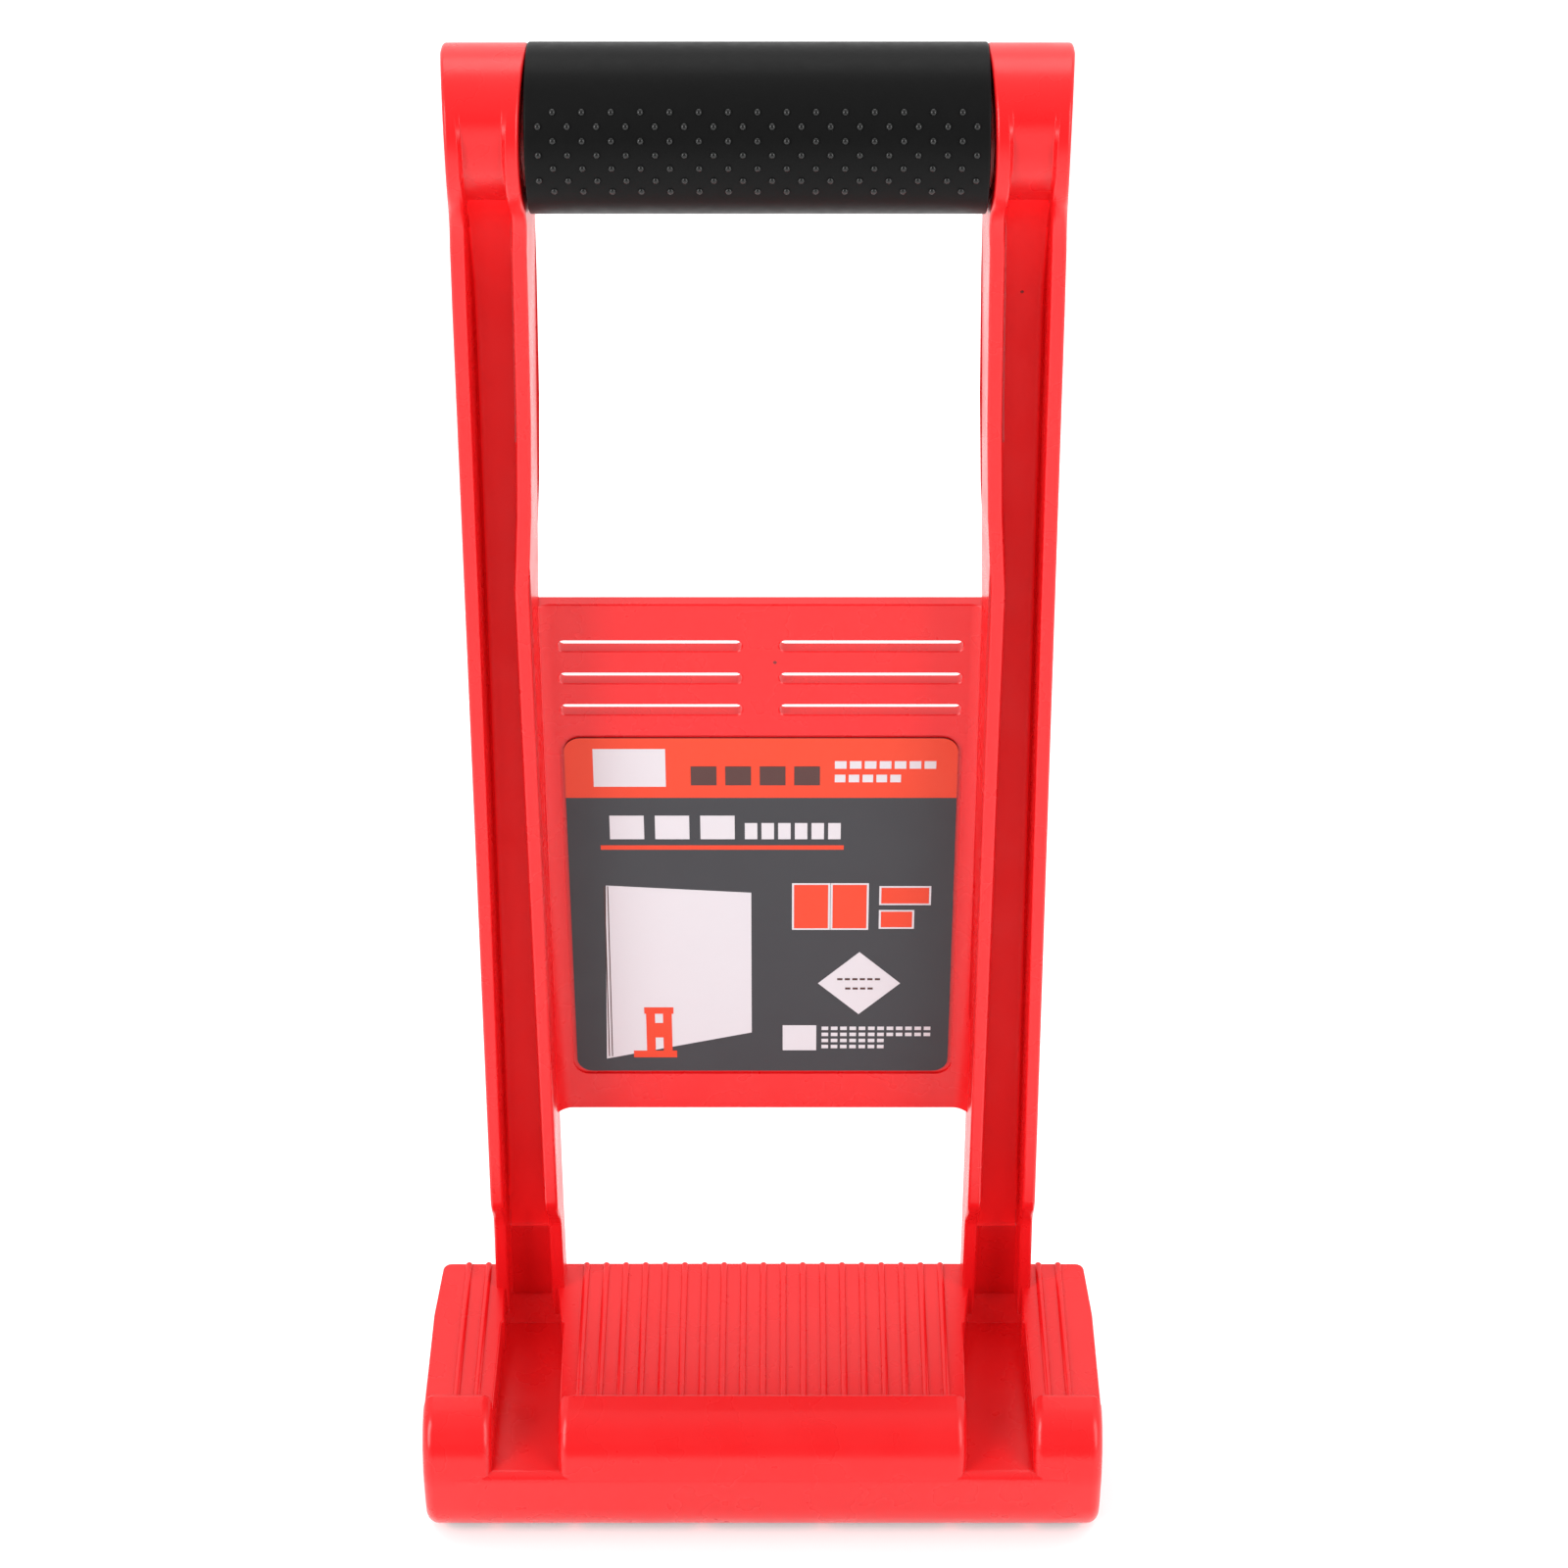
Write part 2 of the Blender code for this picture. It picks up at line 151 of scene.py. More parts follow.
def rounded(corners, inset=0.0, steps=6):
    """A closed outline through (across, up, radius) corners, each rounded, drawn in by an inset."""
    count = len(corners)
    area = sum(
        corners[i - 1][0] * corners[i][1] - corners[i][0] * corners[i - 1][1] for i in range(count)
    )
    turn = 1 if area > 0 else -1
    lines = []
    for i in range(count):
        (x0, y0, _), (x1, y1, _) = corners[i - 1], corners[i]
        length = hypot(x1 - x0, y1 - y0)
        along = ((x1 - x0) / length, (y1 - y0) / length)
        inward = (-along[1] * turn, along[0] * turn)
        lines.append(((x0 + inward[0] * inset, y0 + inward[1] * inset), along))
    outline = []
    for i in range(count):
        (p, a), (q, b) = lines[i], lines[(i + 1) % count]
        cross = a[0] * b[1] - a[1] * b[0]
        reach = ((q[0] - p[0]) * b[1] - (q[1] - p[1]) * b[0]) / cross
        corner = (p[0] + a[0] * reach, p[1] + a[1] * reach)
        convex = cross * turn > 0
        radius = corners[i][2] + (-inset if convex else inset)
        radius = max(radius, 0.02 * MM)
        angle = acos(max(-1, min(1, a[0] * b[0] + a[1] * b[1])))
        side = 1 if cross > 0 else -1
        middle_from = (corner[0] - a[0] * radius * tan(angle / 2), corner[1] - a[1] * radius * tan(angle / 2))
        middle = (middle_from[0] - a[1] * radius * side, middle_from[1] + a[0] * radius * side)
        for step in range(steps + 1):
            swing = side * angle * step / steps
            arm = (middle_from[0] - middle[0], middle_from[1] - middle[1])
            outline.append(
                (
                    middle[0] + arm[0] * cos(swing) - arm[1] * sin(swing),
                    middle[1] + arm[0] * sin(swing) + arm[1] * cos(swing),
                )
            )
    return outline


def rounding(radius, steps=5):
    """(distance from an end face, how far the outline is drawn in there) along a rounded edge."""
    pairs = []
    for step in range(steps + 1):
        angle = pi / 2 * step / steps
        pairs.append((radius * (1 - cos(angle)), radius * (1 - sin(angle))))
    return pairs


def evaluated(thing):
    """Applies the object's modifiers."""
    bpy.context.view_layer.update()
    mesh = bpy.data.meshes.new_from_object(thing.evaluated_get(bpy.context.evaluated_depsgraph_get()))
    thing.modifiers.clear()
    thing.data = mesh


def combine(target, helpers, operation):
    """A Boolean with each helper, which is then removed."""
    for helper in helpers:
        modifier = target.modifiers.new(helper.name, "BOOLEAN")
        modifier.operation = operation
        modifier.object = helper
        modifier.solver = "MANIFOLD"
    evaluated(target)
    for helper in helpers:
        bpy.data.objects.remove(helper)


def along_x(name, corners, low, high, low_round, high_round, steps=6):
    """An outline of (forward, up, radius) corners drawn along X, with its two end edges rounded."""
    rows = []
    for distance, inset in rounding(low_round):
        rows.append([place(low + distance, *point) for point in rounded(corners, inset, steps)])
    for distance, inset in reversed(rounding(high_round)):
        rows.append([place(high - distance, *point) for point in rounded(corners, inset, steps)])
    return loft(name, rows)


def along_z(name, corners, low, high, top_round, steps=4):
    """A plan of (x, forward, radius) corners drawn up Z, with its top edge rounded."""
    rows = [[place(x, forward, low) for x, forward in rounded(corners, 0.0, steps)]]
    for distance, inset in reversed(rounding(top_round, 4)):
        rows.append([place(x, forward, high - distance) for x, forward in rounded(corners, inset, steps)])
    return loft(name, rows)


def flipped(corners, side):
    return [(x * side, forward, radius) for x, forward, radius in corners]


# ---------------------------------------------------------------- foot


def nose_corners(rear):
    return [
        (rear, 0.0, 0.3 * MM),
        (rear, SHELF - 0.6 * MM, 0.3 * MM),
        (STEP, SHELF - 0.6 * MM, 0.3 * MM),
        (STEP, CREST, 0.8 * MM),
        (53.0 * MM, 33.9 * MM, 10 * MM),
        (57.8 * MM, 28.3 * MM, 12 * MM),
        (NOSE_FRONT, 21.0 * MM, 14 * MM),
        (NOSE_FRONT, 0.0, 12 * MM),
    ]


def foot_members():
    """The shelves, the nose in three lengths and the body below them that carries the trough floors."""
    inner, outer = 46.5 * MM, 61.7 * MM
    end, notch = 2.6 * MM, 2.3 * MM
    rear = 40.0 * MM
    members = [
        along_x("centre_nose_skin", nose_corners(rear), -inner, inner, notch, notch),
        along_x("left_nose_skin", nose_corners(rear), -HALF_WIDTH, -outer, end, notch),
        along_x("right_nose_skin", nose_corners(rear), outer, HALF_WIDTH, notch, end),
    ]
    body = [
        (0.0, 0.0, 0.3 * MM),
        (0.0, FLOOR, 0.3 * MM),
        (NOSE_FRONT, FLOOR, 2.2 * MM),
        (NOSE_FRONT, 0.0, 12 * MM),
    ]
    members.append(along_x("foot_body", body, -70 * MM, 70 * MM, 0.3 * MM, 0.3 * MM))
    half = [
        (49.9 * MM, 0.0, 0.3 * MM),
        (47.4 * MM, ROOT, 0.4 * MM),
        (46.9 * MM, ROOT + 0.6 * MM, 0.4 * MM),
        (inner, STEP + 3 * MM, 0.4 * MM),
    ]
    centre = flipped(half[:1], -1) + half + flipped(half[:0:-1], -1)
    members.append(along_z("centre_shelf_skin", centre, 0.0, SHELF, 0.35 * MM))
    side = [
        (63.7 * MM, 0.0, 0.3 * MM),
        (62.3 * MM, 5.0 * MM, 2.0 * MM),
        (61.4 * MM, 8.0 * MM, 4.0 * MM),
        (60.9 * MM, ROOT, 0.4 * MM),
        (61.4 * MM, ROOT + 0.6 * MM, 0.4 * MM),
        (outer, STEP + 3 * MM, 0.4 * MM),
        (HALF_WIDTH, STEP + 3 * MM, 0.4 * MM),
        (HALF_WIDTH, 17.0 * MM, 12 * MM),
        (HALF_WIDTH - BACK_TAPER, 0.0, 2.0 * MM),
    ]
    for sign, word in ((-1, "left"), (1, "right")):
        members.append(along_z(f"{word}_shelf_skin", flipped(side, sign), 0.0, SHELF, 0.5 * MM))
        ramp = [(0.5 * MM, FLOOR - 4 * MM, 0.1 * MM), (0.5 * MM, RAMP_TOP, 0.1 * MM)]
        ramp += [(FOOT_WEB + 0.4 * MM, RAMP_TOP, 0.3 * MM), (RAMP_END, FLOOR + 0.1 * MM, 0.05 * MM)]
        ramp += [(RAMP_END, FLOOR - 4 * MM, 0.05 * MM)]
        ends = sorted((sign * 46.0 * MM, sign * 63.9 * MM))
        members.append(along_x(f"{word}_ramp", ramp, *ends, 0.1 * MM, 0.1 * MM, 3))
    return members


def shelf_ribs():
    """Half-round ribs along the shelf."""
    ribs = []
    for step in (*range(-9, 10), -15, -14, 14, 15):
        x = step * RIB_PITCH
        rows = []
        for forward, size in ((0.1, 0.35), (0.25, 0.75), (0.5, 0.95), (0.8, 1.0), (47.5, 1.0)):
            ring, radius = [], RIB_RADIUS * size
            for side in range(16):
                angle = 2 * pi * side / 16
                ring.append(place(x + radius * cos(angle), forward * MM, SHELF + radius * sin(angle)))
            rows.append(ring)
        ribs.append(loft(f"rib_{step}", rows))
    return ribs


def foot_hollows():
    """The chambers under the foot, open below, with walls left between them."""
    third = 14.0 * MM
    near, middle, far = 45.0 * MM, 60.8 * MM, 63.4 * MM  # the sides of the chambers by and under a trough
    spans = [
        (-near + SHELL, -third - SHELL / 2, SHELF - SHELL),
        (-third + SHELL / 2, third - SHELL / 2, SHELF - SHELL),
        (third + SHELL / 2, near - SHELL, SHELF - SHELL),
        (-HALF_WIDTH + SHELL + BACK_TAPER, -far, SHELF - SHELL),
        (far, HALF_WIDTH - SHELL - BACK_TAPER, SHELF - SHELL),
        (-middle, -near, FLOOR - SHELL),
        (near, middle, FLOOR - SHELL),
    ]
    hollows = []
    for number, (low, high, ceiling) in enumerate(spans):
        shoulder = min(ceiling, 22.0 * MM)
        corners = [
            (SHELL, -5 * MM, 0.1 * MM),
            (SHELL, ceiling, 1.0 * MM),
            (48.5 * MM, ceiling, 2.0 * MM) if ceiling > 25 * MM else (52.0 * MM, ceiling, 2.0 * MM),
            (NOSE_FRONT - SHELL, shoulder - 2 * MM, 3.0 * MM),
            (NOSE_FRONT - SHELL, 8.0 * MM, 6.0 * MM),
            (NOSE_FRONT - 7.5 * MM, -5 * MM, 0.1 * MM),
        ]
        hollows.append(along_x(f"hollow_{number}", corners, low, high, 0.6 * MM, 0.6 * MM, 4))
    return hollows


# ---------------------------------------------------------------- uprights and handle ends


def flange_front(z):
    """How far forward the front edges of an upright's flanges are, below the neck."""
    return between(HEEL_FRONT, FLANGE, smoothstep((z - HEEL_LOW) / (HEEL_HIGH - HEEL_LOW)))


def channel_depth(z):
    """How deep the channel is below the front of the upright; it fades away up the handle end."""
    deep = (FLANGE - WEB) * (1 - smoothstep((z - RUNOUT_LOW) / (RUNOUT_HIGH - RUNOUT_LOW)))
    shallow = 1.6 * MM * (1 - smoothstep((z - RUNOUT_HIGH + 9 * MM) / (8 * MM)))
    return max(deep, shallow)


def inner_edge(z):
    """Half-width of an upright's inner edge, at its front."""
    for (z0, x0), (z1, x1) in zip(INNER_EDGE, INNER_EDGE[1:]):
        if z <= z1 * MM:
            break
    return between(x0, x1, min(1.0, (z / MM - z0) / (z1 - z0))) * MM


def upright_outline():
    """Stations around an upright's side view: (forward, z, outward forward, outward z, is on the front)."""
    middle = (FLANGE / 2, AXIS.z)
    across = FLANGE / 2 + NECK_FILLET
    reach = DISC + NECK_FILLET
    drop = sqrt(reach * reach - across * across)
    turn = acos(across / reach)
    stations = []
    for z in (LOFT_LOW, 26 * MM, 34 * MM, 41 * MM, 45 * MM, WEB_STEP, 47.3 * MM, 47.6 * MM, 49.5 * MM):
        stations.append((flange_front(z), z, 1.0, 0.0, True))
    for step in range(25):
        z = between(HEEL_LOW, HEEL_HIGH, step / 24)
        slope = (flange_front(z + 0.1 * MM) - flange_front(z - 0.1 * MM)) / (0.2 * MM)
        length = hypot(1, slope)
        stations.append((flange_front(z), z, 1 / length, -slope / length, True))
    neck = middle[1] - drop
    for z in (80, 110, 140, 170, 200, 225, 234, 240, 246, 252, 262, 272, 280, 288, 294, 299):
        stations.append((FLANGE, z * MM, 1.0, 0.0, True))
    for step in range(9):
        angle = turn * step / 8
        forward = middle[0] + across - NECK_FILLET * cos(angle)
        stations.append((forward, neck + NECK_FILLET * sin(angle), cos(angle), -sin(angle), True))
    for step in range(1, 29):
        angle = between(-turn, pi / 2, step / 28)
        stations.append(
            (middle[0] + DISC * cos(angle), middle[1] + DISC * sin(angle), cos(angle), sin(angle), True)
        )
    for step in range(1, 25):
        angle = between(pi / 2, pi + turn, step / 24)
        stations.append(
            (middle[0] + DISC * cos(angle), middle[1] + DISC * sin(angle), cos(angle), sin(angle), False)
        )
    for step in range(1, 9):
        angle = turn * (1 - step / 8)
        forward = middle[0] - across + NECK_FILLET * cos(angle)
        stations.append((forward, neck + NECK_FILLET * sin(angle), -cos(angle), -sin(angle), False))
    for z in (299 * MM, 272 * MM, 252 * MM, 234 * MM, 150 * MM, 60 * MM, LOFT_LOW):
        stations.append((0.0, z, -1.0, 0.0, False))
    return stations


def across_lines():
    """Lines across an upright: (distance from a side, draw-in at its rounded edge, place in the channel)."""
    edge, wall = 0.7 * MM, 3.3 * MM
    lines = []
    for step in range(5):
        angle = pi / 2 * step / 4
        lines.append((edge * (1 - cos(angle)), edge * (1 - sin(angle)), 0.0))
    lines.append((FLANGE_EDGE - LIP, 0.0, 0.0))
    for step in range(4):
        angle = pi / 2 * (step + 1) / 4
        lines.append((FLANGE_EDGE - LIP + LIP * sin(angle), 0.0, ("lip", 1 - cos(angle))))
    for step in range(5):
        angle = pi / 2 * step / 4
        lines.append((wall + ROOT_FILLET * (1 - cos(angle)), 0.0, ("root", 1 - sin(angle))))
    return lines


def upright(side, word):
    """An upright with its handle end: its side view carried across its width, with the channel sunk in."""
    stations = upright_outline()
    lines = across_lines()

    def point(station, line, from_inner):
        forward, z, out_forward, out_z, is_front = station
        distance, inset, share = line
        web = between(FOOT_WEB, WEB, smoothstep((z - WEB_STEP) / WEB_BLEND))
        depth = min(max(0.0, forward - web), channel_depth(z) + WEB - web) if is_front else 0.0
        scale = min(1.0, depth / (3.0 * MM))
        sunk = 0.0
        if share:
            kind, part = share
            if kind == "lip":
                sunk = LIP * part * scale
                distance = between(FLANGE_EDGE - LIP, distance, scale) if scale < 1 else distance
            else:
                sunk = depth - ROOT_FILLET * part * scale * 0.8
                reach = distance - FLANGE_EDGE
                draft = reach * min(1.0, depth / (12.7 * MM)) if depth else reach
                distance = FLANGE_EDGE + max(draft, 0.25 * reach)
            sunk = max(0.0, min(sunk, depth))
        forward = forward - out_forward * inset - sunk
        z = z - out_z * inset
        share_up = (z - SHELF) / (OUTER_TOP - SHELF)
        back = 1 - min(1.0, max(0.0, forward / FLANGE))
        on_boss = smoothstep((z - BOSS_LOW) / BOSS_BLEND)
        boss_front = FLANGE / 2 + DISC
        spread = BOSS_DRAFT * min(DISC, max(0.0, boss_front - forward))
        if from_inner:
            draft = between(DRAFT_FOOT, DRAFT_HEAD, smoothstep((z - DRAFT_LOW) / DRAFT_BLEND))
            x = between(inner_edge(z) - draft * back, BOSS_FRONT_INNER - spread, on_boss) + distance
        else:
            straight = between(OUTER_FOOT, OUTER_HEAD, share_up) + DRAFT_OUTER * back
            x = between(straight, BOSS_FRONT_OUTER + spread, on_boss) - distance
        return place(side * x, forward, z)

    rows = [[point(station, line, True) for station in stations] for line in lines]
    rows += [[point(station, line, False) for station in stations] for line in reversed(lines)]
    return loft(f"{word}_upright_skin", rows)


# ---------------------------------------------------------------- plate


def plate_members():
    """The centre plate with a fillet up each flange."""
    low, high = PLATE_LOW.z, PLATE_TOP.z
    half = 47.6 * MM  # reaches into the flanges
    reach, rise = 4.0 * MM, 2.4 * MM  # of the fillet
    distances = [reach * step / 8 for step in range(9)]
    rows = []
    for side, along in ((-1, distances), (1, distances[::-1])):
        for distance in along:
            front = PLATE_FRONT + rise * (1 - distance / reach) ** 2
            corners = [(0.0, low, 0.4 * MM), (0.0, high, 0.4 * MM)]
            corners += [(front, high, 0.45 * MM), (front, low, 0.45 * MM)]
            outline = rounded(corners, 0.0, 5)
            rows.append([place(side * (half - distance), forward, z) for forward, z in outline])
    return [loft("plate_skin", rows)]


def slot_cut(side, z):
    """What is missing in one slot, with round ends and a slightly flared front edge."""
    flare = 0.2 * MM
    rows = []
    for forward, grow in ((-1 * MM, 0.0), (PLATE_FRONT - flare, 0.0), (PLATE_FRONT, flare), (5 * MM, flare)):
        half = SLOT_HALF + grow
        ends = sorted((side * (SLOT_NEAR - grow), side * (SLOT_FAR + grow)))
        corners = [(ends[0], z - half, half * 0.98), (ends[1], z - half, half * 0.98)]
        corners += [(ends[1], z + half, half * 0.98), (ends[0], z + half, half * 0.98)]
        rows.append([place(x, forward, up) for x, up in rounded(corners, 0.0, 6)])
    return loft(f"slot_{side}_{round(z / MM)}", rows)


def label_recess():
    return slab("label_recess", 0.9 * MM, PLATE_FRONT - 0.45 * MM, PLATE_FRONT + 1.5 * MM, 3.6 * MM)


def slab(name, margin, rear, front, radius):
    """A thin block with rounded corners, the label's size plus a margin, between two distances forward."""
    corners = [
        (LABEL_LOW.x - margin, LABEL_LOW.z - margin, radius),
        (LABEL_TOP.x + margin, LABEL_LOW.z - margin, radius),
        (LABEL_TOP.x + margin, LABEL_TOP.z + margin, radius),
        (LABEL_LOW.x - margin, LABEL_TOP.z + margin, radius),
    ]
    outline = rounded(corners, 0.0, 8)
    return loft(name, [[place(x, forward, z) for x, z in outline] for forward in (rear, front)])


def moulding():
    """The whole frame: its members joined, then the slots, the label's recess and the foot's chambers cut."""
    members = foot_members()
    body = members.pop(0)
    members += [upright(side, word) for side, word in ((-1, "left"), (1, "right"))]
    members += plate_members()
    members += shelf_ribs()
    body.name = "frame_moulding"
    combine(body, members, "UNION")
    slots = [slot_cut(side, z) for side in (-1, 1) for z in SLOT_HEIGHTS]
    combine(body, [label_recess(), *slots, *foot_hollows()], "DIFFERENCE")
    clean(body)
    return body


def clean(thing):
    """Welds and dissolves what a Boolean leaves behind, and makes normals that keep the flat faces flat."""
    shape = bmesh.new()
    shape.from_mesh(thing.data)
    bmesh.ops.remove_doubles(shape, verts=shape.verts, dist=0.002 * MM)
    bmesh.ops.dissolve_degenerate(shape, dist=0.002 * MM, edges=shape.edges)
    shape.to_mesh(thing.data)
    shape.free()
    thing.data.shade_smooth()
    thing.data.set_sharp_from_angle(angle=radians(38))
    weighted = thing.modifiers.new("flat_faces", "WEIGHTED_NORMAL")
    weighted.keep_sharp = True
    weighted.weight = 50


# ---------------------------------------------------------------- grip and label


def join(name, parts, material):
    """One object from several closed pieces."""
    shape = bmesh.new()
    for part in parts:
        shape.from_mesh(part.data)
        bpy.data.objects.remove(part)
    thing = solid(name, shape)
    thing.data.materials.append(material)
    return thing


def turned(name, profile, around=72):
    """A closed tube turned about the handle's axis, from (x, radius) points around its wall."""
    rings = []
    for step in range(around):
        angle = 2 * pi * step / around
        rings.append(
            [(x, AXIS.y - radius * cos(angle), AXIS.z + radius * sin(angle)) for x, radius in profile]
        )
    shape = bmesh.new()
    rings = [[shape.verts.new(point) for point in ring] for ring in rings]
    for i in range(around):
        for j in range(len(profile)):
            shape.faces.new((rings[i - 1][j - 1], rings[i - 1][j], rings[i][j], rings[i][j - 1]))
    bmesh.ops.recalc_face_normals(shape, faces=shape.faces)
    return solid(name, shape)


def dome(x, angle, radius, rise):
    """A low bump on the grip."""
    out = Vector((0, -cos(angle), sin(angle)))
    around = Vector((0, sin(angle), cos(angle)))
    centre = Vector((x, AXIS.y, AXIS.z)) + out * GRIP_RADIUS
    rows = []
    for lift, size in ((-0.5, 1.0), (0.0, 1.0), (0.5, 0.87), (0.85, 0.53), (0.98, 0.2)):
        ring = []
        for step in range(10):
            turn = 2 * pi * step / 10
            spread = Vector((1, 0, 0)) * cos(turn) + around * sin(turn)
            ring.append(centre + spread * radius * size + out * rise * lift)
        rows.append(ring)
    return loft("bump", rows)


def grip(material, bump_material):
    """A soft sleeve with rounded ends and rows of small staggered bumps, at the front and at the back."""
    half, bore, edge = 43.1 * MM, 11.5 * MM, 0.4 * MM
    corners = [(-half, bore, 0.3 * MM), (-half, GRIP_RADIUS, edge)]
    corners += [(half, GRIP_RADIUS, edge), (half, bore, 0.3 * MM)]
    parts = [turned("grip_tube", rounded(corners, 0.0, 6))]
    pitch, rows = 5.4 * MM, 7
    highest, lowest = 36.6, -20.0  # degrees above the level of the handle's axis
    for face in (0.0, pi):
        for row in range(rows):
            count = 15 if row % 2 == 0 else 16
            angle = radians(between(highest, lowest, row / (rows - 1)))
            for column in range(count):
                x = (column - (count - 1) / 2) * pitch
                parts.append(dome(x, face + (angle if face == 0 else -angle), 0.7 * MM, 0.5 * MM))
    thing = join("grip_skin", parts, material)
    thing.data.materials.append(bump_material)
    for face in thing.data.polygons:
        if hypot(face.center.y - AXIS.y, face.center.z - AXIS.z) > GRIP_RADIUS + 0.05 * MM:
            face.material_index = 1
    thing.data.shade_smooth()
    thing.data.set_sharp_from_angle(angle=radians(45))
    return thing


def print_layer(name, outlines, layer, material):
    """Flat printed shapes, each an outline of (x, z) in mm, on the label's face or on a lower layer."""
    front = PLATE_FRONT + 0.02 * MM + layer * 0.03 * MM
    faces = (front - 0.02 * MM, front)
    parts = []
    for outline in outlines:
        rows = [[place(x * MM, forward, z * MM) for x, z in outline] for forward in faces]
        parts.append(loft("mark", rows))
    thing = join(name, parts, material)
    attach(thing, "root")
    return thing


def block_of(low_x, low_z, high_x, high_z):
    return [(low_x, low_z), (high_x, low_z), (high_x, high_z), (low_x, high_z)]


def blocks(start, end, low, high, count, gap):
    """A row of equal plain blocks, where a word would stand."""
    width = (end - start - gap * (count - 1)) / count
    return [block_of(x, low, x + width, high) for x in (start + i * (width + gap) for i in range(count))]


def diamond(x, z, half_x, half_z):
    return [(x - half_x, z), (x, z - half_z), (x + half_x, z), (x, z + half_z)]


def band():
    """The orange band across the label's top, with the sheet's own rounded corners."""
    left, right, top = LABEL_LOW.x / MM, LABEL_TOP.x / MM, LABEL_TOP.z / MM
    corners = [(left, 173.2, 0.02), (right, 173.2, 0.02), (right, top, 3.5), (left, top, 3.5)]
    return rounded([(x * MM, z * MM, radius * MM) for x, z, radius in corners], 0.0, 8)


def label():
    """The printed sheet: a band, blocks where wording would be, a board with a carrier, and a diamond."""
    grey = printed("label_grey", (0.041, 0.041, 0.046, 1))
    orange = printed("label_orange", (0.68, 0.052, 0.020, 1))
    white = printed("label_white", (0.60, 0.56, 0.59, 1))
    dark = printed("label_dark", (0.08, 0.035, 0.032, 1))
    sheet = slab("label_sheet", 0.0, PLATE_FRONT - 0.3 * MM, PLATE_FRONT, 3.5 * MM)
    sheet.data.materials.append(grey)
    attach(sheet, "root")
    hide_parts("label_sticker")
    top = [(x / MM, z / MM) for x, z in band()]
    carrier = [block_of(-26.2, 101.6, -24.2, 112.5), block_of(-22.4, 101.6, -20.4, 112.5)]
    carrier += [block_of(-26.6, 112.5, -20.0, 114.4), block_of(-24.2, 105.5, -22.4, 109.8)]
    carrier += [block_of(-29.2, 99.6, -19.4, 101.6)]
    figures = [block_of(7.1, 137.2, 14.6, 149.4), block_of(15.6, 137.2, 23.1, 149.4)]
    figures += [block_of(26.3, 144.2, 36.8, 148.6), block_of(26.3, 137.5, 33.2, 141.9)]
    rim = 0.45
    outlines = [block_of(a[0][0] - rim, a[0][1] - rim, a[2][0] + rim, a[2][1] + rim) for a in figures]
    print_layer("label_band", [top, block_of(-35.0, 159.1, 17.9, 160.3)], 0, orange)
    board = [(-35.4, 99.2), (-2.4, 107.0), (-2.3, 147.2), (-34.2, 149.2)]
    light = [block_of(-36.0, 176.2, -20.5, 186.2), board]
    light += blocks(-32.9, -5.8, 162.0, 168.4, 3, 2.4) + blocks(-3.6, 17.2, 162.0, 166.4, 6, 0.9)
    light += blocks(15.8, 37.5, 181.0, 183.0, 7, 0.7) + blocks(15.8, 30.0, 177.4, 179.4, 5, 0.7)
    light += outlines + [diamond(21.7, 121.4, 9.2, 9.0), block_of(4.6, 101.7, 12.2, 109.1)]
    for row, end in enumerate((38.0, 38.0, 27.5, 27.5)):
        light += blocks(13.4, end, 107.7 - 1.8 * row, 108.7 - 1.8 * row, 12 if end > 30 else 7, 0.6)
    print_layer("label_light_marks", light, 1, white)
    print_layer("label_orange_marks", figures + carrier, 2, orange)
    marks = blocks(-15.1, 12.6, 176.6, 181.6, 4, 1.9) + blocks(16.8, 26.4, 122.3, 122.9, 6, 0.5)
    marks += blocks(18.6, 24.8, 119.6, 120.2, 4, 0.5)
    marks += [[(x, 99.9), (x + 0.22, 99.95), (x + 0.5, 149.0), (x + 0.28, 149.0)] for x in (-34.9, -34.2)]
    print_layer("label_dark_marks", marks, 2, dark)


# ---------------------------------------------------------------- materials


def principled(name, colour, roughness):
    material = bpy.data.materials.new(name)
    material.use_nodes = True
    shader = material.node_tree.nodes["Principled BSDF"]
    shader.inputs["Base Color"].default_value = colour
    shader.inputs["Roughness"].default_value = roughness
    return material, shader


def noise(material, scale, detail):
    """A noise texture in the object's own coordinates."""
    nodes, links = material.node_tree.nodes, material.node_tree.links
    where = nodes.new("ShaderNodeTexCoord")
    texture = nodes.new("ShaderNodeTexNoise")
    texture.inputs["Scale"].default_value = scale
    texture.inputs["Detail"].default_value = detail
    links.new(where.outputs["Object"], texture.inputs["Vector"])
    return texture.outputs["Fac"]


def bump(material, shader, height, strength, distance):
    node = material.node_tree.nodes.new("ShaderNodeBump")
    node.inputs["Strength"].default_value = strength
    node.inputs["Distance"].default_value = distance
    material.node_tree.links.new(height, node.inputs["Height"])
    material.node_tree.links.new(node.outputs["Normal"], shader.inputs["Normal"])


def vary(material, value, low, high, socket):
    """Carries a 0 to 1 value into a socket, as a range of values."""
    node = material.node_tree.nodes.new("ShaderNodeMapRange")
    node.inputs["From Min"].default_value = 0.3
    node.inputs["From Max"].default_value = 0.7
    node.inputs["To Min"].default_value = low
    node.inputs["To Max"].default_value = high
    material.node_tree.links.new(value, node.inputs["Value"])
    material.node_tree.links.new(node.outputs["Result"], socket)


